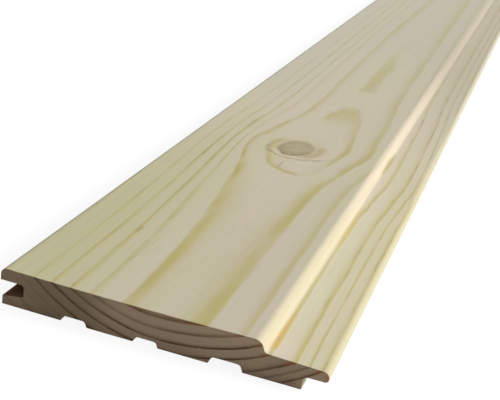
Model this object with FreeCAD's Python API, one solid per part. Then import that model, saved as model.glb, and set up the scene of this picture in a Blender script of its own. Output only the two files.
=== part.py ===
import FreeCAD, Part
import math
import os

# Tongue and groove board: one planed length of softwood, lying on its back with the show face up.
# Sizes are in millimetres and angles in degrees. X runs across the board, from the groove edge to
# the tongue, Y along its length and Z from the back to the show face. The origin is the middle of
# the rectangle that the board covers on the floor.

# The stock
board_length = 1800.0
board_width = 121.0  # groove edge to the nose of the tongue
board_thickness = 14.0
cover_width = 112.0  # what one fitted board adds to a wall, so the rest of the width is tongue

# The groove edge: a long upper lip and a shorter lower lip with a slanted inside
upper_lip_thickness = 4.75
upper_lip_round = 2.4
lower_lip_thickness = 3.4  # at its end, from where it thickens inwards
lower_lip_setback = 1.0  # how much shorter it is than the upper lip
groove_top_round = 1.4
groove_bottom_round = 0.4

# The tongue edge
tongue_thickness = 4.25  # where it enters the neighbour's groove
tongue_fall = 2.2  # slope of its upper side
tongue_top_round = 2.3
tongue_bottom_round = 1.4
tongue_root_round = 1.5

# The step beside the tongue, which leaves an open channel between two fitted boards
channel_width = 14.0
step_slope = 68.0
step_round = 3.6
step_foot_round = 1.6

# How a tongue sits in the groove of the next board
tongue_play = 0.05  # under the upper lip
lower_lip_play = 0.3  # between the tongue and the root of the lower lip
nose_gap = 0.2  # between the nose and the end of the groove
shoulder_gap = 0.6  # between the shoulder and the end of the lower lip

# The relief grooves in the back, from the first one's edge, each as (width, depth)
relief_start = 24.1
relief_pitch = 27.6
relief_sizes = ((10.0, 2.15), (9.2, 2.1), (12.4, 2.65))
relief_slope = 68.0
relief_round = 1.5

# The slight softness that planing leaves on every other outer edge
arris = 0.3

# Levels above the back
groove_top = board_thickness - upper_lip_thickness
tongue_top = groove_top - tongue_play
tongue_underside = tongue_top - tongue_thickness
groove_root = tongue_underside - lower_lip_play

# Distances from the groove edge
groove_depth = board_width - cover_width + nose_gap
shoulder = cover_width + lower_lip_setback - shoulder_gap
step_foot = cover_width - channel_width


def slope_run(height, slope):
    """Width of a slanted side of the given height."""
    return height / math.tan(math.radians(slope))


def tongue_height(distance):
    """Level of the tongue's upper side at a distance from the groove edge."""
    return tongue_top - (distance - cover_width) * math.tan(math.radians(tongue_fall))


def relief_corners(start, width, depth):
    """The four corners of one relief groove, from the groove edge towards the tongue."""
    end = start + width
    side = slope_run(depth, relief_slope)
    return [
        (start, 0.0, arris),
        (start + side, depth, relief_round),
        (end - side, depth, relief_round),
        (end, 0.0, arris),
    ]


def back_corners():
    """The back of the board, from the lower lip to the shoulder."""
    corners = [(lower_lip_setback, 0.0, arris)]
    for number, (width, depth) in enumerate(relief_sizes):
        corners += relief_corners(relief_start + number * relief_pitch, width, depth)
    return corners + [(shoulder, 0.0, arris)]


def tongue_corners():
    """The tongue, from its root at the shoulder round its nose to the foot of the step."""
    return [
        (shoulder, tongue_underside, tongue_root_round),
        (board_width, tongue_underside, tongue_bottom_round),
        (board_width, tongue_height(board_width), tongue_top_round),
        (step_foot, tongue_height(step_foot), step_foot_round),
    ]


def face_corners():
    """The show face, from the top of the step to the rounded end of the upper lip."""
    step_rise = board_thickness - tongue_height(step_foot)
    return [
        (step_foot - slope_run(step_rise, step_slope), board_thickness, step_round),
        (0.0, board_thickness, upper_lip_round),
    ]


def groove_corners():
    """The groove, from the upper lip round its root to the end of the lower lip."""
    return [
        (0.0, groove_top, arris),
        (groove_depth, groove_top, groove_top_round),
        (groove_depth, groove_root, groove_bottom_round),
        (lower_lip_setback, lower_lip_thickness, arris),
    ]


def rounded_outline(corners):
    """A closed wire through corners of (distance, level, radius), each rounded by a tangent arc.

    Where two rounds meet on an edge that is too short for both, they share it.
    """
    count = len(corners)
    points = [FreeCAD.Vector(distance, 0.0, level) for distance, level, _ in corners]
    to_last = [points[i - 1] - points[i] for i in range(count)]
    to_next = [points[(i + 1) % count] - points[i] for i in range(count)]
    half_angles = [to_last[i].getAngle(to_next[i]) / 2 for i in range(count)]
    setbacks = [corners[i][2] / math.tan(half_angles[i]) for i in range(count)]

    shares = [1.0] * count
    for i in range(count):
        after = (i + 1) % count
        taken = setbacks[i] + setbacks[after]
        if taken > to_next[i].Length:
            share = 0.999 * to_next[i].Length / taken
            shares[i] = min(shares[i], share)
            shares[after] = min(shares[after], share)

    arcs = []
    for i in range(count):
        last_way = to_last[i].normalize()
        next_way = to_next[i].normalize()
        setback = setbacks[i] * shares[i]
        radius = corners[i][2] * shares[i]
        inwards = (last_way + next_way).normalize()
        middle = points[i] + inwards * (radius / math.sin(half_angles[i]) - radius)
        arcs.append(Part.Arc(points[i] + last_way * setback, middle, points[i] + next_way * setback))

    edges = []
    for i in range(count):
        edges.append(arcs[i].toShape())
        edges.append(Part.LineSegment(arcs[i].EndPoint, arcs[(i + 1) % count].StartPoint).toShape())
    return Part.Wire(edges)


def make_board():
    """The whole board: its section drawn at one end and extruded to the other."""
    section = Part.Face(rounded_outline(back_corners() + tongue_corners() + face_corners() + groove_corners()))
    board = section.extrude(FreeCAD.Vector(0.0, board_length, 0.0))
    board.translate(FreeCAD.Vector(-board_width / 2, -board_length / 2, 0.0))
    return board


os.makedirs("parts", exist_ok=True)
board = make_board()
board.exportStep("parts/board.step")
print("board volume", round(board.Volume), "mm3, valid", board.isValid())
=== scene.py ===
import math
import bmesh
import bpy
from bpy.props import FloatProperty, FloatVectorProperty, PointerProperty
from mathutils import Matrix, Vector, noise


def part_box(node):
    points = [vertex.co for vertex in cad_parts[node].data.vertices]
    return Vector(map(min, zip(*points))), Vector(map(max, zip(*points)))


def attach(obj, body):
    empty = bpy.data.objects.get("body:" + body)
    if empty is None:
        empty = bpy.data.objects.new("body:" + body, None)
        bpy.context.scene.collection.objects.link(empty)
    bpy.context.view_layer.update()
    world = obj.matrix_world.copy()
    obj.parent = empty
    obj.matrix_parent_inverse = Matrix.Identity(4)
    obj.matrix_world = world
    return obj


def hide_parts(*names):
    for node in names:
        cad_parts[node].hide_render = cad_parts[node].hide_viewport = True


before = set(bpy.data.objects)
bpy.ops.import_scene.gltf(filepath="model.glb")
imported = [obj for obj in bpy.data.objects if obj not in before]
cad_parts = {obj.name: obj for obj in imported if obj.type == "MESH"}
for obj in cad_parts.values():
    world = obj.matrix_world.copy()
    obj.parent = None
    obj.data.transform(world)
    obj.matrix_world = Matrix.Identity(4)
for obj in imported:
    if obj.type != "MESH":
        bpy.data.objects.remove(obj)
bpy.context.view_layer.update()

bl_info = {
    "name": "Pine Matchboard",
    "version": (1, 0, 0),
    "blender": (4, 5, 0),
    "location": "3D View > Sidebar > Matchboard",
    "description": "A planed pine tongue and groove board with its grain, knots and sawn ends, "
                   "on a pale floor",
    "category": "Object",
}

MM = 0.001
lowest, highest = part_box("board")
FRONT = lowest.y  # the sawn end that the camera sees
BACK = highest.y
FACE = highest.z  # level of the show face
LENGTH = (BACK - FRONT) / MM
HAIR = 0.01 * MM  # places closer than this count as one

# The tree's pith, which ran above the show face, and its rings, in mm
PITH_SIDE = 1.5  # from the board's middle
PITH_HEIGHT = 71.4  # above its back
FIRST_RING = 59.4  # radius
RING_WIDTH = 4.15

# Knots, as (across, along from the front end, half width, half length, turn in degrees), in mm.
KNOTS = {
    "large": (-7.2, 203.0, 9.0, 13.2, -11.0),
    "side": (-31.0, 1148.0, 5.2, 8.0, -12.0),
    "late": (22.0, 1492.0, 6.4, 9.5, 8.0),
}
BEND_REACH = 2.3  # how far a knot bends the fibres, in half widths

# How far the growth rings swell outwards along the board, as (mm from the front end, swell in mm):
# near the groove, between it and the pith, over the pith, beside the step and at the tongue. They
# rise where the rings pass a knot.
SWELL_LIMIT = 8.0
SWELL_GROOVE = (
    (0, 0.05), (50, 0.12), (75, 0.3), (100, 0.85), (120, 1.2), (150, 2.05), (180, 3.0), (200, 3.3),
    (222, 3.1), (245, 2.1), (260, 1.5), (290, 1.0), (320, 0.65), (450, 0.6), (700, 0.7), (1050, 0.9),
    (1148, 2.5), (1240, 1.0), (1450, 1.5), (1560, 0.7), (1800, 1.1),
)
SWELL_BESIDE = (
    (0, 0.1), (40, 0.3), (60, 0.6), (80, 1.05), (100, 1.65), (120, 2.35), (150, 3.45), (170, 4.8),
    (185, 6.2), (200, 6.9), (210, 6.5), (222, 5.4), (232, 4.7), (250, 3.2), (265, 2.2), (290, 1.6),
    (330, 1.7), (450, 1.9), (550, 1.9), (700, 1.4), (1050, 1.5), (1148, 4.6), (1240, 1.6), (1450, 2.6),
    (1560, 1.2), (1800, 1.8),
)
SWELL_MIDDLE = (
    (0, 0.4), (75, 0.5), (125, 1.0), (150, 1.5), (158, 2.0), (162, 2.6), (166, 3.4), (172, 4.4),
    (180, 5.0), (205, 5.5), (225, 5.0), (245, 4.3), (262, 3.9), (272, 3.5), (284, 3.1), (294, 2.8),
    (304, 2.45), (314, 2.15), (332, 2.1), (339, 2.8), (345, 2.85), (425, 2.72), (455, 2.45), (468, 2.2),
    (482, 2.4), (500, 2.65), (525, 2.2), (700, 1.2), (1050, 1.0), (1148, 2.2), (1240, 1.2), (1420, 2.6),
    (1492, 4.6), (1570, 2.0), (1800, 1.2),
)
SWELL_STEP = (
    (0, 0.4), (75, 0.25), (125, 0.15), (150, 0.35), (175, 1.3), (205, 3.6), (220, 4.2), (235, 3.85),
    (250, 3.6), (270, 3.6), (290, 3.3), (330, 2.5), (380, 2.1), (460, 1.9), (620, 1.3), (1000, 0.7),
    (1300, 1.0), (1492, 4.3), (1600, 1.4), (1800, 0.8),
)
SWELL_TONGUE = (
    (0, 0.1), (120, 0.2), (150, 0.9), (175, 1.7), (205, 2.5), (235, 2.3), (265, 2.05), (300, 1.7),
    (330, 1.1), (360, 0.5), (400, 0.1), (1000, 0.5), (1400, 0.8), (1492, 2.6), (1580, 0.8), (1800, 0.4),
)

# For each ring from the second inside the first one to the ninth outside it, on the groove's side
# and on the tongue's: how clearly it shows on a planed face and on a sawn end, which share of the
# year is latewood, and how far out of its even place it lies, in years
RINGS_INSIDE = 2
GROOVE_RINGS = (
    (0.8, 0.8, 0.45, 0.0), (1.0, 0.9, 0.42, 0.0), (1.0, 0.85, 0.60, -0.08), (0.55, 0.5, 0.50, -0.14),
    (0.95, 1.0, 0.50, -0.06), (0.8, 0.95, 0.48, 0.0), (0.55, 0.95, 0.42, 0.0), (0.15, 0.3, 0.36, 0.0),
    (0.2, 0.15, 0.36, 0.0), (0.25, 0.35, 0.36, 0.0), (0.3, 0.3, 0.36, 0.0), (0.3, 0.3, 0.36, 0.0),
)
TONGUE_RINGS = (
    (0.8, 0.8, 0.45, 0.0), (1.0, 0.9, 0.42, 0.0), (0.9, 0.85, 0.70, 0.02), (0.65, 0.75, 0.60, 0.04),
    (0.5, 1.0, 0.48, 0.0), (0.8, 1.0, 0.45, 0.09), (0.85, 0.95, 0.54, -0.07), (0.8, 0.6, 0.58, 0.17),
    (0.75, 0.9, 0.56, 0.12), (0.6, 0.8, 0.36, 0.0), (0.6, 0.8, 0.36, 0.0), (0.6, 0.8, 0.36, 0.0),
)

# Darkness from the start of a ring's latewood to its outer edge
LATEWOOD_LINE = (
    (0.0, 0.0), (0.25, 0.14), (0.48, 0.48), (0.66, 0.90), (0.78, 1.0), (0.88, 0.80), (0.95, 0.28),
    (1.0, 0.0),
)

# Small marks on the planed faces, as (middle, half size, strength, colour from 0 to 255), in mm
MARKS = {
    "resin near the end": ((39.4, -894.0, 9.3), (2.0, 50.0, 4.0), 0.75, (194, 160, 92)),
    "resin farther in": ((39.6, -776.0, 9.3), (2.1, 40.0, 4.0), 0.5, (196, 170, 104)),
    "patch at the step": ((38.6, -678.0, 9.6), (1.7, 30.0, 4.0), 0.7, (162, 150, 94)),
    "yellow streak": ((-0.8, -490.0, 14.0), (6.0, 125.0, 6.0), 0.4, (180, 172, 116)),
    "yellow hook": ((2.0, -620.0, 14.0), (10.0, 36.0, 6.0), 0.3, (184, 174, 124)),
    "check below the knot": ((-7.4, -727.0, 14.0), (0.9, 11.0, 5.0), 0.4, (130, 118, 88)),
    "fleck": ((-33.6, -840.0, 14.0), (1.1, 5.5, 4.0), 0.5, (140, 126, 84)),
}

# Wider soft areas of the planed faces, as (middle, half size), in mm
AREAS = {
    "green corner": ((-52.0, -860.0, 10.0), (46.0, 300.0, 60.0)),
    "behind the knot": ((-13.0, -662.0, 14.0), (13.0, 48.0, 30.0)),
    "before the knot": ((10.0, -727.0, 14.0), (15.0, 20.0, 30.0)),
}

# Colours that tint a part of the wood, from 0 to 255
TINTS = {
    "pinkish drift": (199, 189, 171),
    "green corner": (185, 181, 145),
    "step": (200, 190, 163),
    "step farther in": (204, 192, 171),
    "outer tongue": (190, 183, 149),
    "greyed": (190, 186, 167),
    "faded ring": (176, 166, 130),
    "dash": (140, 130, 88),
    "knot's year rings": (156, 146, 116),
    "knot's blotches": (148, 136, 100),
    "halo": (190, 180, 142),
    # cream: a painted highlight just inside a knot's collar
    "cream": (214, 200, 170),
    "gap": (164, 144, 100),
    "collar": (130, 116, 82),
    "shaded end": (158, 138, 110),
    "glow": (180, 108, 58),
    "speck": (205, 196, 178),
}
GROOVE_PAINTED_SHADE = (0.50, 0.31, 0.26)  # painted shade: how much of its colour the groove keeps

# Where something starts, is full, fades and ends, in mm
STEP_COLOUR = (33.2, 35.2, 38.2, 39.2)  # across the board
STEP_MOVED = (30.5, 33.0, 39.0, 42.0)  # across the board
GROOVE_SHADE_HEIGHTS = (3.3, 3.6, 9.1, 9.4)  # above its back

TORN = 6 * MM  # how far in from an end the saw tears its edges

SAW_MIDDLE = (-80.0, -130.0)  # of the arcs that the saw left, across and up, in mm
PLANER_PITCH = 2.1  # from ripple to ripple, in mm


def ink(red, green, blue):
    """A colour as the screen shows it, from 0 to 255, in the linear values that shaders use."""
    parts = [c / 255 for c in (red, green, blue)]
    return tuple(c / 12.92 if c <= 0.04045 else ((c + 0.055) / 1.055) ** 2.4 for c in parts)


def tint(name):
    return ink(*TINTS[name])


# Sizes and colours that a user would change


class MatchboardShape(bpy.types.PropertyGroup):
    """What planing, sawing and drying leave on the board's exact section"""

    cup: FloatProperty(
        name="Cup", description="How far both edges have lifted as the board dried",
        default=0.25 * MM, min=0.0, max=2 * MM, precision=5, subtype="DISTANCE", unit="LENGTH",
    )
    dish: FloatProperty(
        name="Dish", description="How far the middle of the show face has sunk",
        default=0.35 * MM, min=0.0, max=1 * MM, precision=5, subtype="DISTANCE", unit="LENGTH",
    )
    step_out: FloatProperty(
        name="Step", description="How much nearer to the tongue's nose the side of the step lies",
        default=0.45 * MM, min=0.0, max=1 * MM, precision=5, subtype="DISTANCE", unit="LENGTH",
    )
    end_softness: FloatProperty(
        name="End softness", description="How far the saw rounds the edges of a sawn end",
        default=0.22 * MM, min=0.05 * MM, max=1 * MM, precision=5, subtype="DISTANCE", unit="LENGTH",
    )
    tear: FloatProperty(
        name="Tear", description="Depth of the chips that the saw tears out of an end's edges",
        default=0.5 * MM, min=0.0, max=2 * MM, precision=5, subtype="DISTANCE", unit="LENGTH",
    )
    knot_relief: FloatProperty(
        name="Knot relief",
        description="Height that the hard wood of a knot keeps, and depth of the rim round it",
        default=0.08 * MM, min=0.0, max=1 * MM, precision=5, subtype="DISTANCE", unit="LENGTH",
    )


class MatchboardWood(bpy.types.PropertyGroup):
    """Colours of the planed faces and the sawn ends"""

    earlywood: FloatVectorProperty(
        name="Earlywood", description="Pale wood that grows first in each year",
        default=ink(196, 190, 164), size=3, min=0.0, max=1.0, subtype="COLOR",
    )
    latewood: FloatVectorProperty(
        name="Latewood", description="Denser wood at the end of each year's ring",
        default=ink(176, 165, 103), size=3, min=0.0, max=1.0, subtype="COLOR",
    )
    knot: FloatVectorProperty(
        name="Knot", description="Heart of a knot",
        default=ink(170, 161, 132), size=3, min=0.0, max=1.0, subtype="COLOR",
    )
    knot_rim: FloatVectorProperty(
        name="Knot rim", description="Dark line where a knot meets the wood round it",
        default=ink(122, 106, 74), size=3, min=0.0, max=1.0, subtype="COLOR",
    )
    end_wood: FloatVectorProperty(
        name="End wood", description="Earlywood on a sawn end",
        default=ink(196, 171, 144), size=3, min=0.0, max=1.0, subtype="COLOR",
    )
    end_rings: FloatVectorProperty(
        name="End rings", description="Latewood on a sawn end",
        default=ink(102, 76, 50), size=3, min=0.0, max=1.0, subtype="COLOR",
    )
    ring_width: FloatProperty(
        name="Ring width", description="Average width of one year's growth, in mm",
        default=RING_WIDTH, min=0.5, max=20.0,
    )
    grain_strength: FloatProperty(
        name="Grain strength", description="How much of the latewood colour shows on the planed faces",
        default=0.95, min=0.0, max=1.0, subtype="FACTOR",
    )


class MatchboardStage(bpy.types.PropertyGroup):
    """Camera, lamps and floor"""

    camera_place: FloatVectorProperty(
        name="Camera place", description="Where the camera stands",
        default=(0.10183, -1.19413, 0.18062), size=3, subtype="TRANSLATION", unit="LENGTH",
    )
    camera_turn: FloatVectorProperty(
        name="Camera turn", description="How the camera is turned",
        default=(math.radians(68.39), math.radians(-7.86), math.radians(17.71)), size=3, subtype="EULER",
    )
    lens: FloatProperty(
        name="Lens", description="The camera's focal length in mm, on a sensor 36 mm wide",
        default=74.67, min=10.0, max=300.0,
    )
    key_strength: FloatProperty(
        name="Key light", description="Strength of the soft light from the tongue's side",
        default=1.16 * math.pi, min=0.0, max=20.0,
    )
    key_height: FloatProperty(
        name="Key height", description="Height of the key light above the floor, as an angle",
        default=math.radians(31.0), min=0.0, max=math.pi / 2, subtype="ANGLE", unit="ROTATION",
    )
    key_side: FloatProperty(
        name="Key side", description="How far the key light stands behind the board's tongue side",
        default=math.radians(16.0), min=-math.pi, max=math.pi, subtype="ANGLE", unit="ROTATION",
    )
    sky_strength: FloatProperty(
        name="Sky light", description="Strength of the even light from all round",
        default=0.30, min=0.0, max=5.0,
    )
    floor_colour: FloatVectorProperty(
        name="Floor colour", description="What the floor gives back to the object standing on it",
        default=(0.5, 0.5, 0.5), size=3, min=0.0, max=1.0, subtype="COLOR",
    )


# Nodes


class NodeSheet:
    """Places the nodes of one material or node group and joins them."""

    def __init__(self, tree):
        self.tree = tree
        self.placed = 0

    def place(self, kind, **settings):
        node = self.tree.nodes.new(kind)
        node.location = (self.placed % 10 * 190, -(self.placed // 10) * 300)
        self.placed += 1
        for name, value in settings.items():
            setattr(node, name, value)
        return node

    def feed(self, socket, value):
        if isinstance(value, bpy.types.NodeSocket):
            self.tree.links.new(value, socket)
        elif value is not None:
            socket.default_value = value

    def fill(self, node, *values):
        """Feeds a node's sockets in their order."""
        for socket, value in zip(node.inputs, values):
            self.feed(socket, value)
        return node.outputs[0]

    def math(self, operation, *values, clamp=False):
        return self.fill(self.place("ShaderNodeMath", operation=operation, use_clamp=clamp), *values)

    def times(self, first, *others):
        for value in others:
            first = self.math("MULTIPLY", first, value)
        return first

    def plus(self, first, second):
        return self.math("ADD", first, second)

    def minus(self, first, second):
        return self.math("SUBTRACT", first, second)

    def over(self, first, second):
        return self.math("DIVIDE", first, second)

    def most(self, first, second):
        return self.math("MAXIMUM", first, second)

    def line(self, value, slope, start):
        return self.math("MULTIPLY_ADD", value, slope, start)

    def vector(self, operation, *values):
        node = self.place("ShaderNodeVectorMath", operation=operation)
        self.fill(node, *values)
        return node.outputs["Value" if operation in ("LENGTH", "DOT_PRODUCT") else "Vector"]

    def split(self, position):
        node = self.place("ShaderNodeSeparateXYZ")
        self.feed(node.inputs[0], position)
        return node.outputs

    def join(self, x, y, z):
        return self.fill(self.place("ShaderNodeCombineXYZ"), x, y, z)

    def length(self, x, y, z):
        return self.vector("LENGTH", self.join(x, y, z))

    def between(self, value, low, high, start=0.0, end=1.0):
        """A smooth change from start to end while the value goes from low to high."""
        node = self.place("ShaderNodeMapRange", interpolation_type="SMOOTHSTEP")
        return self.fill(node, value, low, high, start, end)

    def band(self, value, rise, full, fade, end):
        """1 from full to fade, falling smoothly to 0 at rise and at end."""
        return self.times(self.between(value, rise, full), self.between(value, end, fade))

    def blend(self, share, first, second, way="MIX"):
        node = self.place("ShaderNodeMix", data_type="RGBA", blend_type=way)
        self.feed(node.inputs[0], share)
        for socket, value in zip(node.inputs[6:8], (first, second)):
            self.feed(socket, (*value, 1.0) if isinstance(value, tuple) and len(value) == 3 else value)
        return node.outputs[2]

    def shade(self, colour, light):
        """A colour made darker or lighter by a number."""
        return self.blend(1.0, colour, self.join(light, light, light), "MULTIPLY")

    def mix(self, share, first, second):
        node = self.place("ShaderNodeMix", data_type="FLOAT")
        for number, value in ((0, share), (2, first), (3, second)):
            self.feed(node.inputs[number], value)
        return node.outputs[0]

    def noise(self, position, grain, detail=2.0, roughness=0.5):
        """Noise whose grains measure so many mm across, along and up."""
        scaled = self.vector("MULTIPLY", position, tuple(1.0 / size for size in grain))
        node = self.place("ShaderNodeTexNoise", noise_dimensions="3D")
        settings = {"Vector": scaled, "Scale": 1.0, "Detail": detail, "Roughness": roughness}
        for name, value in settings.items():
            self.feed(node.inputs[name], value)
        return node.outputs[0]

    def curve(self, value, points):
        """A smooth line through points that lie between 0 and 1."""
        node = self.place("ShaderNodeFloatCurve")
        self.feed(node.inputs["Value"], value)
        line = node.mapping.curves[0]
        line.points[0].location, line.points[1].location = points[0], points[-1]
        for point in points[1:-1]:
            line.points.new(*point)
        node.mapping.update()
        return node.outputs[0]

    def group(self, tree, **values):
        node = self.place("ShaderNodeGroup", node_tree=tree)
        for name, value in values.items():
            self.feed(node.inputs[name.replace("_", " ")], value)
        return node.outputs


def empty_sheet(owner):
    """Clears the nodes of a material or a world."""
    owner.use_nodes = True
    owner.node_tree.nodes.clear()
    return NodeSheet(owner.node_tree)


def new_group(name, inputs, outputs):
    """An empty node group, its sheet, its inputs' sockets by name and its output node."""
    tree = bpy.data.node_groups.new(name, "ShaderNodeTree")
    for label, kind, value in inputs:
        socket = tree.interface.new_socket(label, in_out="INPUT", socket_type="NodeSocket" + kind)
        if value is not None:
            socket.default_value = value
    for label, kind in outputs:
        tree.interface.new_socket(label, in_out="OUTPUT", socket_type="NodeSocket" + kind)
    sheet = NodeSheet(tree)
    return tree, sheet, sheet.place("NodeGroupInput").outputs, sheet.place("NodeGroupOutput").inputs


def ring_swell(sheet, x, y):
    """How far the rings swell outwards at a place, blended from the five lines across the board."""
    along = sheet.over(sheet.minus(y, FRONT / MM), LENGTH)
    swells = []
    for line in (SWELL_GROOVE, SWELL_BESIDE, SWELL_MIDDLE, SWELL_STEP, SWELL_TONGUE):
        points = [(distance / LENGTH, swell / SWELL_LIMIT) for distance, swell in line]
        swells.append(sheet.times(sheet.curve(along, points), SWELL_LIMIT))
    groove, beside, over_pith, step, tongue = swells
    groove = sheet.times(groove, sheet.between(x, -46.0, -38.0, 0.75, 1.0))
    swell = sheet.mix(sheet.between(x, -37.5, -30.0), groove, beside)
    swell = sheet.mix(sheet.between(x, -25.0, -5.0), swell, over_pith)
    swell = sheet.mix(sheet.between(x, 1.0, 28.0), swell, step)
    return sheet.mix(sheet.between(x, 32.0, 42.0), swell, tongue)


def from_ring_tables(sheet, where, column, tongue_side, start=0.0):
    """One column of the rings' tables, which changes over the pith from one side to the other."""
    sides = []
    for rings in (GROOVE_RINGS, TONGUE_RINGS):
        points = [(i / (len(rings) - 1), start + ring[column]) for i, ring in enumerate(rings)]
        sides.append(sheet.curve(where, points))
    return sheet.mix(tongue_side, *sides)


def growth_rings():
    """Rings round a pith above the show face, so that faces and sawn ends show the same wood."""
    tree, sheet, given, out = new_group(
        "Growth Rings",
        [("Position", "Vector", None), ("Pith Side", "Float", PITH_SIDE),
         ("Pith Height", "Float", PITH_HEIGHT), ("First Ring", "Float", FIRST_RING),
         ("Ring Width", "Float", RING_WIDTH), ("Waviness", "Float", 0.10)],
        [("Band", "Float"), ("On Face", "Float"), ("On End", "Float")],
    )
    place = given["Position"]
    x, y, z = sheet.split(place)

    # Rings grew a little wider apart on the tongue side.
    side = sheet.minus(x, given["Pith Side"])
    side = sheet.minus(side, sheet.times(sheet.most(side, 0.0), 0.07))
    height = sheet.minus(z, given["Pith Height"])
    radius = sheet.minus(sheet.length(side, 0.0, height), ring_swell(sheet, x, y))
    years = sheet.over(sheet.minus(radius, given["First Ring"]), given["Ring Width"])
    slow = sheet.minus(sheet.noise(place, (24.0, 160.0, 24.0)), 0.5)
    quick = sheet.minus(sheet.noise(place, (2.2, 26.0, 2.2), 3.0), 0.5)
    years = sheet.line(sheet.line(quick, 1.5, slow), given["Waviness"], years)
    # The outer years were narrower.
    years = sheet.plus(years, sheet.between(years, 4.2, 5.6, 0.0, 0.5))

    # Each ring has its own place, its own strength and its own share of latewood. A curve holds
    # only values from 0 to 1, so the places are kept there half a year too far out.
    count = len(GROOVE_RINGS) - 1
    tongue_side = sheet.between(x, -12.0, 14.0)
    where = sheet.over(sheet.plus(years, float(RINGS_INSIDE)), count)
    years = sheet.plus(years, sheet.minus(from_ring_tables(sheet, where, 3, tongue_side, start=0.5), 0.5))
    ring = sheet.math("FRACT", years)
    year = sheet.over(sheet.plus(sheet.math("FLOOR", years), RINGS_INSIDE + 1.0), count)
    on_face, on_end, late = [from_ring_tables(sheet, year, column, tongue_side) for column in range(3)]

    # Pale for most of the ring, then darker up to its outer edge, and fainter in some stretches
    into_late = sheet.math("DIVIDE", sheet.minus(ring, sheet.minus(1.0, late)), late, clamp=True)
    stretch = sheet.join(sheet.times(year, 60.0), sheet.times(y, 0.018), sheet.times(x, 0.08))
    faint = sheet.between(sheet.noise(stretch, (1.0, 1.0, 1.0)), 0.3, 0.62, 0.62, 1.05)
    sheet.feed(out["Band"], sheet.times(sheet.curve(into_late, LATEWOOD_LINE), faint))
    sheet.feed(out["On Face"], on_face)
    sheet.feed(out["On End"], on_end)
    return tree


def knot():
    """One knot: its heart, the dark rim round it and the collar of wood that grew over it."""
    tree, sheet, given, out = new_group(
        "Knot",
        [("Position", "Vector", None), ("Across", "Float", 0.0), ("Along", "Float", 0.0),
         ("Half Width", "Float", 8.0), ("Half Length", "Float", 12.0), ("Turn", "Float", 0.0)],
        [(part, "Float") for part in ("Heart", "Rim", "Gap", "Collar", "Cream", "Rings", "Halo", "Blotch")],
    )
    place = given["Position"]
    x, y, z = sheet.split(place)
    # A branch leans as it goes down through the board.
    depth = sheet.minus(FACE / MM, z)
    x = sheet.minus(sheet.line(depth, 0.15, x), given["Across"])
    y = sheet.minus(sheet.line(depth, 0.35, y), given["Along"])
    cosine, sine = sheet.math("COSINE", given["Turn"]), sheet.math("SINE", given["Turn"])
    u = sheet.over(sheet.line(x, cosine, sheet.times(y, sine)), given["Half Width"])
    v = sheet.over(sheet.minus(sheet.times(y, cosine), sheet.times(x, sine)), given["Half Length"])
    ragged = sheet.minus(sheet.noise(place, (5.0, 7.0, 5.0), 3.0, 0.6), 0.5)
    broken = sheet.between(sheet.noise(place, (3.0, 3.5, 3.0), 2.0), 0.35, 0.6, 0.45, 1.0)

    # The heart has year rings of its own, and is darker in blotches and near its lower edge.
    reach = sheet.plus(sheet.length(u, v, 0.0), sheet.times(ragged, 0.42))
    below = sheet.between(v, 0.35, -0.75)
    sheet.feed(out["Heart"], sheet.between(reach, 1.09, 0.84))
    sheet.feed(out["Rings"], sheet.line(sheet.math("SINE", sheet.times(reach, 21.0)), 0.5, 0.5))
    sheet.feed(out["Halo"], sheet.between(reach, 2.3, 1.0))
    edge = sheet.times(sheet.between(reach, 0.5, 0.95, 0.0, 0.5), sheet.mix(below, 0.35, 1.0))
    blotch = sheet.between(sheet.noise(place, (3.0, 4.0, 3.0), 2.0), 0.45, 0.75, 0.0, 0.5)
    sheet.feed(out["Blotch"], sheet.math("ADD", blotch, edge, clamp=True))

    # The rim is darkest below the heart, and resin fills the gap on both sides, most on the right.
    rim = sheet.band(reach, 0.74, 0.97, 1.0, 1.14)
    rim = sheet.times(rim, sheet.between(u, -0.95, -0.5, 0.35, 1.0))
    sheet.feed(out["Rim"], sheet.times(rim, broken, sheet.mix(below, 0.15, 1.0)))
    sides = sheet.plus(sheet.between(u, 0.5, 0.95), sheet.between(u, -0.6, -1.1, 0.0, 0.6))
    gap = sheet.times(sheet.band(reach, 1.02, 1.2, 1.45, 1.75), sides)
    sheet.feed(out["Gap"], sheet.times(gap, sheet.band(v, -1.15, -0.55, 0.55, 1.0)))

    # The collar is wider than the heart and its line shows only on the near side.
    tilted = sheet.minus(v, sheet.line(u, 0.15, 0.02))
    wide = sheet.length(sheet.times(sheet.minus(u, 0.46), 0.50), sheet.times(tilted, 0.71), 0.0)
    wide = sheet.plus(wide, sheet.times(ragged, 0.22))
    near = sheet.between(v, 0.5, -1.2)
    sheet.feed(out["Collar"], sheet.times(sheet.band(wide, 0.90, 0.99, 1.0, 1.08), near, broken))
    # A painted highlight in cream runs just inside the collar's line.
    sheet.feed(out["Cream"], sheet.times(sheet.band(wide, 0.74, 0.85, 0.88, 0.97), near))
    return tree


def fibres():
    """Fine fibres along the board, with the short dark dashes of its resin canals."""
    tree, sheet, given, out = new_group(
        "Fibres",
        [("Position", "Vector", None), ("Fineness", "Float", 0.42)],
        [("Streaks", "Float"), ("Dashes", "Float"), ("Tint", "Float")],
    )
    place, thin = given["Position"], given["Fineness"]
    fine = sheet.over(1.0, thin)
    scaled = sheet.vector("MULTIPLY", place, sheet.join(fine, 0.03, fine))
    sheet.feed(out["Streaks"], sheet.noise(scaled, (1.0, 1.0, 1.0), 4.0, 0.65))
    dashes = sheet.noise(place, (0.5, 7.0, 0.5), 1.0, 0.4)
    sheet.feed(out["Dashes"], sheet.between(dashes, 0.70, 0.78))
    sheet.feed(out["Tint"], sheet.noise(place, (14.0, 130.0, 30.0), 3.0, 0.55))
    return tree


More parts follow.
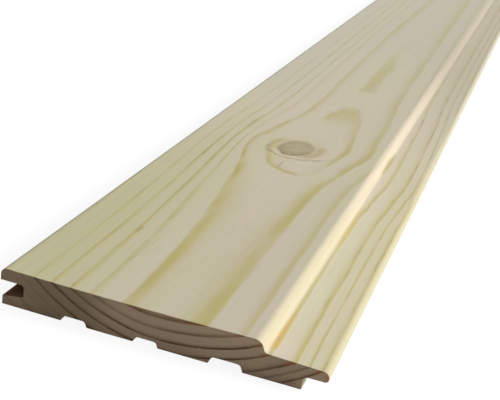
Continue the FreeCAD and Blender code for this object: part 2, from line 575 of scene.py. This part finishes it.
def fibre_flow():
    """Bends the fibres round a knot."""
    tree, sheet, given, out = new_group(
        "Fibre Flow",
        [("Position", "Vector", None), ("Across", "Float", 0.0), ("Along", "Float", 0.0),
         ("Reach", "Float", 20.0)],
        [("Position", "Vector")],
    )
    x, y, z = sheet.split(given["Position"])
    u = sheet.over(sheet.minus(x, given["Across"]), given["Reach"])
    v = sheet.over(sheet.minus(y, given["Along"]), sheet.times(given["Reach"], 2.0))
    away = sheet.plus(sheet.times(u, u), sheet.times(v, v))
    near = sheet.math("EXPONENT", sheet.times(away, -1.0))
    moved = sheet.times(sheet.times(u, given["Reach"]), sheet.times(near, -0.75))
    sheet.feed(out["Position"], sheet.join(sheet.plus(x, moved), y, z))
    return tree


def soft_spot():
    """A soft oval patch that runs right through the board."""
    tree, sheet, given, out = new_group(
        "Soft Spot",
        [("Position", "Vector", None), ("Middle", "Vector", None),
         ("Half Size", "Vector", (10.0, 10.0, 10.0))],
        [("Spot", "Float")],
    )
    away = sheet.vector("SUBTRACT", given["Position"], given["Middle"])
    away = sheet.vector("LENGTH", sheet.vector("DIVIDE", away, given["Half Size"]))
    sheet.feed(out["Spot"], sheet.between(away, 1.0, 0.0))
    return tree


def wood_groups():
    """Builds each node group once."""
    return {
        "rings": growth_rings(), "knot": knot(), "fibres": fibres(),
        "flow": fibre_flow(), "spot": soft_spot(),
    }


def new_material(name):
    """A material with its sheet, its Principled shader and the place on the board in mm."""
    material = bpy.data.materials.new(name)
    sheet = empty_sheet(material)
    shader = sheet.place("ShaderNodeBsdfPrincipled")
    output = sheet.place("ShaderNodeOutputMaterial")
    sheet.feed(output.inputs["Surface"], shader.outputs[0])
    where = sheet.place("ShaderNodeTexCoord").outputs["Object"]
    return material, sheet, shader, sheet.vector("MULTIPLY", where, (1 / MM, 1 / MM, 1 / MM))


def add_bump(sheet, shader, height, distance):
    bump = sheet.place("ShaderNodeBump")
    sheet.feed(bump.inputs["Strength"], 1.0)
    sheet.feed(bump.inputs["Distance"], distance)
    sheet.feed(bump.inputs["Height"], height)
    sheet.feed(shader.inputs["Normal"], bump.outputs[0])


def spot(sheet, groups, place, centre, half_size):
    return sheet.group(groups["spot"], Position=place, Middle=centre, Half_Size=half_size)["Spot"]


def planed_earlywood(sheet, groups, place, grain, slope, pale):
    """The pale wood's colour, which changes a little over the board."""
    x, y, _ = sheet.split(place)
    # It drifts between a pinkish and a greenish cream.
    early = sheet.blend(sheet.between(grain["Tint"], 0.32, 0.68), tint("pinkish drift"), pale)
    corner = spot(sheet, groups, place, *AREAS["green corner"])
    early = sheet.blend(corner, early, tint("green corner"))
    farther = sheet.between(y, -800.0, -720.0)
    side = sheet.blend(farther, tint("step"), tint("step farther in"))
    early = sheet.blend(slope, early, side)
    # The outer half of the tongue is yellower at first.
    outer = sheet.most(sheet.between(x, 44.5, 49.0, 0.0, 0.45), sheet.between(x, 57.0, 59.0))
    outer = sheet.times(outer, sheet.between(y, -640.0, -740.0))
    early = sheet.blend(outer, early, tint("outer tongue"))
    # The wood has greyed a little farther in, first beside the groove.
    greyed = sheet.times(sheet.between(x, -26.0, -44.0), sheet.between(y, -640.0, -560.0))
    greyed = sheet.most(greyed, sheet.between(y, -560.0, -380.0))
    greyed = sheet.times(greyed, sheet.between(x, 36.0, 33.0, 0.0, 0.85))
    return sheet.blend(greyed, early, tint("greyed"))


def planed_latewood(sheet, groups, place, rings, slope, far):
    """How much of the latewood's colour shows on a planed face."""
    x, _, _ = sheet.split(place)
    late = sheet.times(rings["Band"], rings["On Face"])
    # The rings fade on the side of the step, along the board, most of all beside the groove, and
    # on both sides of the large knot.
    late = sheet.times(late, sheet.line(slope, -0.6, 1.0))
    late = sheet.times(late, sheet.mix(far, 1.0, sheet.between(x, -20.0, 12.0, 0.65, 0.75)))
    for area, left in (("behind the knot", 0.0), ("before the knot", 0.35)):
        inside = spot(sheet, groups, place, *AREAS[area])
        late = sheet.times(late, sheet.between(inside, 0.0, 0.5, 1.0, left))
    return late


def add_marks(sheet, groups, place, grain, colour):
    """The colour with the small marks on it. Resin has dried back from the sawn end."""
    clear = sheet.between(sheet.split(place)["Y"], -897.5, -893.0)
    for centre, half_size, strength, shade in MARKS.values():
        mark = spot(sheet, groups, place, centre, half_size)
        mark = sheet.times(mark, sheet.between(grain["Streaks"], 0.35, 0.65, 0.5, 1.3))
        mark = sheet.times(sheet.between(mark, 0.1, 0.6), clear, strength)
        colour = sheet.blend(mark, colour, ink(*shade))
    return colour


def add_knots(sheet, groups, place, wood, colour, height):
    """The colour and the bump's height with the knots in them."""
    for across, along, half_width, half_length, turn in KNOTS.values():
        mark = sheet.group(
            groups["knot"], Position=place, Across=across, Along=along + FRONT / MM,
            Half_Width=half_width, Half_Length=half_length, Turn=math.radians(turn),
        )
        heart = sheet.blend(sheet.times(mark["Rings"], 0.2), tuple(wood.knot), tint("knot's year rings"))
        heart = sheet.blend(mark["Blotch"], heart, tint("knot's blotches"))
        # The cream is a painted highlight inside the collar.
        for part, share, stain in (
            ("Halo", 0.4, tint("halo")), ("Cream", 0.35, tint("cream")), ("Gap", 0.5, tint("gap")),
            ("Heart", 1.0, heart), ("Rim", 0.75, tuple(wood.knot_rim)), ("Collar", 0.5, tint("collar")),
        ):
            colour = sheet.blend(sheet.times(mark[part], share), colour, stain)
        height = sheet.minus(height, sheet.times(sheet.plus(mark["Rim"], mark["Collar"]), 0.8))
    return colour, height


def planed_tone_and_painted_shade(sheet, place, grain):
    """How light the planed wood is, from fibre to fibre and from place to place, with painted shade on the
    side of the step farther in.
    """
    x, y, _ = sheet.split(place)
    light = sheet.between(grain["Streaks"], 0.25, 0.75, 0.955, 1.035)
    light = sheet.minus(light, sheet.times(grain["Dashes"], 0.10))
    # The tongue is lighter near the end, less so at its nose, and darker farther in. Painted shade darkens
    # the side of the step farther in, where the light falls off along the board.
    clean = sheet.between(x, 57.0, 59.5, 1.13, 1.02)
    tongue = sheet.mix(sheet.between(y, -800.0, -420.0), clean, 0.86)
    side = sheet.mix(sheet.between(y, -680.0, -400.0), 1.0, sheet.between(x, 33.0, 36.0, 1.0, 0.66))
    return sheet.times(light, sheet.mix(sheet.between(x, 37.8, 39.5), side, tongue))


def planed_pine(wood, groups):
    """The planed faces: rings cut lengthwise, fibres, knots and a little resin."""
    material, sheet, shader, place = new_material("planed pine")
    x, y, z = sheet.split(place)
    flowing = place
    for across, along, half_width, _, _ in KNOTS.values():
        flowing = sheet.group(
            groups["flow"], Position=flowing, Across=across, Along=along + FRONT / MM,
            Reach=half_width * BEND_REACH,
        )["Position"]
    rings = sheet.group(groups["rings"], Position=place, Ring_Width=wood.ring_width)
    grain = sheet.group(groups["fibres"], Position=flowing)

    far = sheet.between(y, -740.0, -560.0)
    slope = sheet.band(x, *STEP_COLOUR)
    early = planed_earlywood(sheet, groups, place, grain, slope, tuple(wood.earlywood))
    late = planed_latewood(sheet, groups, place, rings, slope, far)
    late_colour = sheet.blend(sheet.times(far, 0.6), tuple(wood.latewood), tint("faded ring"))
    colour = sheet.blend(sheet.times(late, wood.grain_strength), early, late_colour)

    # On the groove's side and on the tongue, the rings break up into short dark dashes.
    dashes = sheet.between(sheet.noise(flowing, (1.4, 22.0, 3.0), 2.0), 0.5, 0.7)
    sides = sheet.most(sheet.between(x, -18.0, -26.0), sheet.between(x, 39.0, 42.0))
    colour = sheet.blend(sheet.times(dashes, sides, late, 0.55), colour, tint("dash"))

    colour = add_marks(sheet, groups, place, grain, colour)
    colour, height = add_knots(sheet, groups, place, wood, colour, sheet.times(grain["Streaks"], 0.5))
    colour = sheet.shade(colour, planed_tone_and_painted_shade(sheet, place, grain))
    # Painted shade darkens the inside of the groove, and the groove has no specular shine.
    groove = sheet.times(sheet.between(x, -50.8, -51.1), sheet.band(z, *GROOVE_SHADE_HEIGHTS))
    sheet.feed(shader.inputs["Base Color"], sheet.blend(groove, colour, GROOVE_PAINTED_SHADE, "MULTIPLY"))

    rough = sheet.between(grain["Streaks"], 0.2, 0.8, 0.62, 0.78)
    sheet.feed(shader.inputs["Roughness"], sheet.line(rings["Band"], -0.07, rough))
    sheet.feed(shader.inputs["Specular IOR Level"], sheet.line(groove, -0.3, 0.3))

    # Planer knives leave faint even ripples across the board.
    ripple = sheet.math("SINE", sheet.times(y, 2 * math.pi / PLANER_PITCH))
    height = sheet.line(ripple, 0.03, height)
    height = sheet.line(rings["Band"], 0.5, height)
    add_bump(sheet, shader, height, 0.05 * MM)
    return material


def sawn_pine(wood, groups):
    """The sawn ends: rings cut across, open pores, rays and the marks of the saw."""
    material, sheet, shader, place = new_material("sawn pine end")
    x, _, z = sheet.split(place)
    rings = sheet.group(groups["rings"], Position=place, Ring_Width=wood.ring_width, Waviness=0.06)
    grain = sheet.group(groups["fibres"], Position=place, Fineness=0.3)

    # Painted shade darkens the earlywood beside the groove; it is also darker towards the tongue.
    shade = sheet.between(x, -58.0, -42.0, 0.45, 1.0)
    shade = sheet.times(shade, sheet.between(x, -32.0, -12.0, 1.0, 0.0))
    shade = sheet.plus(shade, sheet.between(x, 20.0, 48.0, 0.0, 0.45))
    pale = sheet.blend(shade, tuple(wood.end_wood), tint("shaded end"))
    dark = sheet.times(rings["Band"], rings["On End"])
    colour = sheet.blend(dark, pale, tuple(wood.end_rings))
    # Painted glow: light that comes through the dense rings close below the planed faces, and through the
    # tongue's nose, is painted into the end's colour.
    face = sheet.times(sheet.between(z, 12.0, 13.6), sheet.between(x, -22.0, -8.0))
    tongue = sheet.times(sheet.between(x, 33.0, 37.0), sheet.between(z, 6.6, 9.2))
    nose = sheet.times(sheet.between(x, 58.2, 60.2), 0.8)
    painted_glow = sheet.most(sheet.times(sheet.math("ADD", face, tongue, clamp=True), dark), nose)
    colour = sheet.blend(sheet.times(painted_glow, 0.8), colour, tint("glow"))

    # Rays run outwards from the pith, and the saw left scratches in a wide arc.
    side = sheet.minus(x, PITH_SIDE)
    angle = sheet.math("ARCTAN2", side, sheet.minus(PITH_HEIGHT, z))
    radius = sheet.length(side, 0.0, sheet.minus(z, PITH_HEIGHT))
    rays = sheet.noise(sheet.join(sheet.times(angle, 150.0), radius, 0.0), (1.0, 7.0, 1.0), 2.0)
    saw = sheet.length(sheet.minus(x, SAW_MIDDLE[0]), 0.0, sheet.minus(z, SAW_MIDDLE[1]))
    marks = sheet.noise(sheet.join(saw, 0.0, 0.0), (0.7, 1.0, 1.0), 3.0, 0.7)
    pores = sheet.between(grain["Streaks"], 0.3, 0.72)
    light = sheet.plus(sheet.line(marks, 0.16, 0.80), sheet.times(rays, 0.10))
    colour = sheet.shade(colour, sheet.plus(light, sheet.times(pores, 0.08)))
    specks = sheet.between(sheet.noise(place, (0.55, 4.0, 0.45), 1.0), 0.76, 0.80)
    colour = sheet.blend(sheet.times(specks, 0.5), colour, tint("speck"))
    sheet.feed(shader.inputs["Base Color"], colour)
    sheet.feed(shader.inputs["Roughness"], sheet.between(marks, 0.2, 0.8, 0.74, 0.9))
    sheet.feed(shader.inputs["Specular IOR Level"], 0.25)
    add_bump(sheet, shader, sheet.line(marks, 0.8, sheet.times(pores, 0.6)), 0.12 * MM)
    return material


# The board


def select_only(piece):
    bpy.ops.object.select_all(action="DESELECT")
    piece.select_set(True)
    bpy.context.view_layer.objects.active = piece


def pick(piece, kind, wanted):
    """In edit mode, selects only the faces or edges that the test wants. Returns how many."""
    bpy.ops.mesh.select_mode(type={"faces": "FACE", "edges": "EDGE"}[kind])
    bpy.ops.mesh.select_all(action="DESELECT")
    shell = bmesh.from_edit_mesh(piece.data)
    found = [part for part in getattr(shell, kind) if wanted(part)]
    for part in found:
        part.select_set(True)
    bmesh.update_edit_mesh(piece.data)
    return len(found)


def middle(edge):
    return (edge.verts[0].co + edge.verts[1].co) / 2


def on_show_face(edge):
    return middle(edge).z > FACE - 0.1 * MM


def on_tongue(edge):
    """Whether an edge of the section lies in the tongue's upper side."""
    return middle(edge).x > 37 * MM and 8.9 * MM < middle(edge).z < 9.8 * MM


def refine_outline(piece):
    """Divides the long straight edges of the section, closest on the faces that are seen most."""
    for step, wanted in (
        (1.3 * MM, on_show_face),
        (0.45 * MM, lambda e: on_show_face(e) and middle(e).x > 31.6 * MM),
        (1.4 * MM, on_tongue),
        (5.0 * MM, lambda e: middle(e).z < FACE - 0.1 * MM),
    ):
        shell = bmesh.from_edit_mesh(piece.data)
        long_edges = [e for e in shell.edges if e.calc_length() > 1.5 * step and wanted(e)]
        for length in sorted({round(e.calc_length() / MM, 2) for e in long_edges}):
            pick(piece, "edges", lambda e: abs(e.calc_length() / MM - length) < 0.006 and wanted(e))
            bpy.ops.mesh.subdivide(number_cuts=max(1, round(length * MM / step) - 1))


def extrude_board(piece, softness):
    """Draws the section out along the board in stretches, divided most where most happens."""
    # Where each stretch ends, in mm from the front end, and the parts that it is divided into
    soft, length = round(softness / MM, 4), round(LENGTH, 3)
    stops = [
        (0.0, 0), (soft, 3), (1.2, 2), (6.0, 4), (24.0, 4), (150.0, 20), (258.0, 76), (1110.0, 88),
        (1186.0, 37), (1452.0, 28), (1532.0, 39), (length - 24.0, 25), (length - 6.0, 4),
        (length - 1.2, 4), (length - soft, 2), (length, 3),
    ]
    for (start, _), (stop, _) in zip(stops, stops[1:]):
        pick(piece, "edges", lambda e: min(v.co.y for v in e.verts) > FRONT + start * MM - HAIR)
        bpy.ops.mesh.extrude_edges_indiv()
        bpy.ops.transform.translate(value=(0.0, (stop - start) * MM, 0.0))
    for (start, _), (stop, parts) in zip(stops, stops[1:]):
        low, high = FRONT + start * MM, FRONT + stop * MM

        def along_stretch(edge):
            run = abs(edge.verts[0].co.y - edge.verts[1].co.y)
            return run > 0.5 * (high - low) and low < middle(edge).y < high

        pick(piece, "edges", along_stretch)
        bpy.ops.mesh.subdivide(number_cuts=parts - 1)
    for end in (FRONT, BACK):
        pick(piece, "edges", lambda e: all(abs(v.co.y - end) < HAIR for v in e.verts))
        bpy.ops.mesh.edge_face_add()


def knot_height(place):
    """Relief of the knots at a place on the show face, in parts of their own height."""
    height = 0.0
    for across, along, half_width, half_length, _ in KNOTS.values():
        u = (place.x / MM - across) / half_width
        v = ((place.y - FRONT) / MM - along) / half_length
        reach = math.hypot(u, v)
        if reach < 2.4:
            reach += 0.25 * noise.noise(place * 160)
            heart = max(0.0, 1 - (reach / 0.9) ** 2)
            rim = math.exp(-(((reach - 1.02) / 0.12) ** 2))
            collar = math.exp(-(((reach - 1.75) / 0.35) ** 2))
            height += 0.8 * heart - 1.1 * rim + 0.35 * collar
    return height


def end_wear(place, out, shape):
    """How an outer edge of a sawn end moves where the saw has softened and torn it."""
    move = Vector()
    inwards = min(place.y - FRONT, BACK - place.y)
    if inwards < shape.end_softness:
        left = 1 - inwards / shape.end_softness
        move -= out * shape.end_softness * (1 - math.sqrt(max(0.0, 1 - left * left)))
    if inwards < TORN:
        where = Vector((place.x * 420, 3.0 if place.y < 0 else 9.0, place.z * 420))
        chip = max(0.0, noise.noise(where) - 0.30) + 0.4 * max(0.0, noise.noise(where * 3.1) - 0.3)
        low_edge = 1.0 if out.z < -0.5 else 0.35
        move -= out * shape.tear * chip * low_edge * (1 - inwards / TORN) ** 2
    if inwards < HAIR:
        move.y += 0.10 * MM * noise.noise(Vector((place.x * 900, 0.0, place.z * 900)))
    return move


def weather(piece, shape):
    """Moves the vertices as drying, planing and sawing would, each by less than a millimetre."""
    half = (highest.x - lowest.x) / 2
    shell = bmesh.new()
    shell.from_mesh(piece.data)
    shell.normal_update()
    moves = []
    for vertex in shell.verts:
        x, _, z = vertex.co
        out = Vector((vertex.normal.x, 0.0, vertex.normal.z)).normalized()
        move = Vector((0.0, 0.0, shape.cup * (x / half) ** 2))

        # The show face sinks in the middle, and a knot stays proud in a slight hollow.
        if z > FACE - 0.3 * MM:
            across = (x + 12.4 * MM) / (46 * MM)
            move.z -= shape.dish * max(0.0, 1 - across ** 2)
            move.z += shape.knot_relief * knot_height(vertex.co)

        # The planer cut the side of the step a little farther out.
        if z > 9 * MM:
            rise, full, fade, end = STEP_MOVED
            before, behind = (x / MM - rise) / (full - rise), (end - x / MM) / (end - fade)
            move.x += shape.step_out * min(max(0.0, before), max(0.0, behind), 1.0)

        moves.append((vertex, move + end_wear(vertex.co, out, shape)))
    for vertex, move in moves:
        vertex.co += move
    shell.to_mesh(piece.data)
    shell.free()
    piece.data.update()


def shape_board(shape):
    """A finer copy of the CAD board, drawn out again from its own end section."""
    piece = bpy.data.objects.new("planed_board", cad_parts["board"].data.copy())
    bpy.context.scene.collection.objects.link(piece)
    piece.data.materials.clear()
    select_only(piece)
    bpy.ops.object.mode_set(mode="EDIT")
    bpy.ops.mesh.select_all(action="SELECT")
    bpy.ops.mesh.remove_doubles(threshold=HAIR)

    # Only the front end stays, as a bare outline.
    if not pick(piece, "faces", lambda f: f.calc_center_median().y > FRONT + 0.1 * MM):
        raise RuntimeError("the board's copy has no sides to take away")
    bpy.ops.mesh.delete(type="FACE")
    bpy.ops.mesh.select_all(action="SELECT")
    bpy.ops.mesh.dissolve_faces()
    bpy.ops.mesh.select_all(action="SELECT")
    bpy.ops.mesh.delete(type="ONLY_FACE")
    bpy.ops.mesh.select_all(action="SELECT")
    bpy.ops.mesh.remove_doubles(threshold=0.13 * MM)
    refine_outline(piece)
    extrude_board(piece, shape.end_softness)
    bpy.ops.mesh.select_all(action="SELECT")
    bpy.ops.mesh.normals_make_consistent(inside=False)
    bpy.ops.object.mode_set(mode="OBJECT")
    weather(piece, shape)
    return piece


class MATCHBOARD_OT_board(bpy.types.Operator):
    """Makes the planed board in the CAD board's place, with its wood"""

    bl_idname = "matchboard.board"
    bl_label = "Make the board"
    bl_options = {"REGISTER", "UNDO"}

    def execute(self, context):
        wood = context.scene.matchboard_wood
        piece = shape_board(context.scene.matchboard_shape)
        groups = wood_groups()
        piece.data.materials.append(planed_pine(wood, groups))
        piece.data.materials.append(sawn_pine(wood, groups))
        for face in piece.data.polygons:
            face.material_index = 1 if abs(face.normal.y) > 0.75 else 0
        select_only(piece)
        bpy.ops.object.shade_smooth_by_angle(angle=math.radians(32))
        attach(piece, "root")
        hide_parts("board")
        return {"FINISHED"}


# The stage


def seen_or_lit(sheet):
    """1 where the camera, a mirror or glass looks, and 0 where light is gathered."""
    path = sheet.place("ShaderNodeLightPath").outputs
    seen = sheet.math("ADD", path["Is Camera Ray"], path["Is Glossy Ray"], clamp=True)
    return sheet.math("ADD", seen, path["Is Transmission Ray"], clamp=True)


def floor_material(colour):
    """Pale for the light, and near white with a light shadow for the eye."""
    material = bpy.data.materials.new("pale floor")
    sheet = empty_sheet(material)
    # What lies beside the groove gives back less, so that the groove stays dark.
    lit = sheet.place("ShaderNodeBsdfDiffuse")
    x, _, _ = sheet.split(sheet.place("ShaderNodeTexCoord").outputs["Object"])
    near = sheet.blend(sheet.between(x, -0.08, -0.05), (0.04, 0.04, 0.04), tuple(colour))
    sheet.feed(lit.inputs["Color"], sheet.blend(sheet.between(x, 0.05, 0.07), near, (0.8, 0.8, 0.8)))
    shown = sheet.place("ShaderNodeBsdfDiffuse")
    sheet.feed(shown.inputs["Color"], (0.14, 0.14, 0.14, 1.0))
    glow = sheet.place("ShaderNodeEmission")
    sheet.feed(glow.inputs["Color"], (1.0, 1.0, 1.0, 1.0))
    sheet.feed(glow.inputs["Strength"], 0.90)
    add = sheet.place("ShaderNodeAddShader")
    sheet.feed(add.inputs[0], shown.outputs[0])
    sheet.feed(add.inputs[1], glow.outputs[0])
    choose = sheet.place("ShaderNodeMixShader")
    sheet.feed(choose.inputs[0], seen_or_lit(sheet))
    sheet.feed(choose.inputs[1], lit.outputs[0])
    sheet.feed(choose.inputs[2], add.outputs[0])
    sheet.feed(sheet.place("ShaderNodeOutputMaterial").inputs["Surface"], choose.outputs[0])
    return material


def light_world(strength):
    """A white sky, brightest above the tongue's side, that the camera sees as even white."""
    world = bpy.data.worlds.new("white room")
    bpy.context.scene.world = world
    sheet = empty_sheet(world)
    way = sheet.place("ShaderNodeTexCoord").outputs["Generated"]
    facing = sheet.vector("DOT_PRODUCT", way, (0.55, -0.1, 0.83))
    light = sheet.times(sheet.between(facing, -0.35, 0.9, 0.25, 1.5), strength)
    sky = sheet.place("ShaderNodeBackground")
    sheet.feed(sky.inputs["Color"], (1.0, 1.0, 1.0, 1.0))
    sheet.feed(sky.inputs["Strength"], sheet.mix(seen_or_lit(sheet), light, 1.0))
    sheet.feed(sheet.place("ShaderNodeOutputWorld").inputs["Surface"], sky.outputs[0])


class MATCHBOARD_OT_stage(bpy.types.Operator):
    """Makes the floor, the lamps and the camera at the photograph's angle"""

    bl_idname = "matchboard.stage"
    bl_label = "Make the stage"
    bl_options = {"REGISTER", "UNDO"}

    def execute(self, context):
        stage = context.scene.matchboard_stage
        bpy.ops.object.select_all(action="DESELECT")
        bpy.ops.object.camera_add(location=stage.camera_place, rotation=stage.camera_turn)
        camera = context.object
        camera.name = "camera"
        camera.data.sensor_width = 36.0
        camera.data.lens = stage.lens
        camera.data.clip_start = 0.01
        context.scene.camera = camera

        bpy.ops.mesh.primitive_plane_add(size=14.0, location=(0.0, 0.0, 0.0))
        floor = context.object
        floor.name = "floor"
        floor.data.materials.append(floor_material(stage.floor_colour))

        level = math.cos(stage.key_height)
        towards = Vector((
            level * math.cos(stage.key_side), level * math.sin(stage.key_side), math.sin(stage.key_height),
        ))
        turn = towards.to_track_quat("Z", "Y").to_euler()
        bpy.ops.object.light_add(type="SUN", location=towards * 3, rotation=turn)
        key = context.object
        key.name = "key_light"
        key.data.energy = stage.key_strength
        key.data.angle = math.radians(18)
        key.data.color = (1.0, 0.985, 0.955)
        light_world(stage.sky_strength)
        context.scene.view_settings.view_transform = "Standard"
        return {"FINISHED"}


class MATCHBOARD_PT_panel(bpy.types.Panel):
    """Lists the board's and the stage's settings and steps"""

    bl_idname = "MATCHBOARD_PT_panel"
    bl_label = "Matchboard"
    bl_space_type = "VIEW_3D"
    bl_region_type = "UI"
    bl_category = "Matchboard"

    def draw(self, context):
        for name in SETTINGS:
            box = self.layout.box()
            settings = getattr(context.scene, name)
            for field in settings.__annotations__:
                box.prop(settings, field)
        self.layout.operator(MATCHBOARD_OT_board.bl_idname)
        self.layout.operator(MATCHBOARD_OT_stage.bl_idname)


SETTINGS = ("matchboard_shape", "matchboard_wood", "matchboard_stage")
CLASSES = (
    MatchboardShape, MatchboardWood, MatchboardStage,
    MATCHBOARD_OT_board, MATCHBOARD_OT_stage, MATCHBOARD_PT_panel,
)


def register():
    for made in CLASSES:
        bpy.utils.register_class(made)
    bpy.types.Scene.matchboard_shape = PointerProperty(type=MatchboardShape)
    bpy.types.Scene.matchboard_wood = PointerProperty(type=MatchboardWood)
    bpy.types.Scene.matchboard_stage = PointerProperty(type=MatchboardStage)


def unregister():
    for name in SETTINGS:
        delattr(bpy.types.Scene, name)
    for made in reversed(CLASSES):
        bpy.utils.unregister_class(made)


def main():
    register()
    bpy.ops.matchboard.stage()
    bpy.ops.matchboard.board()


if __name__ == "__main__":
    main()
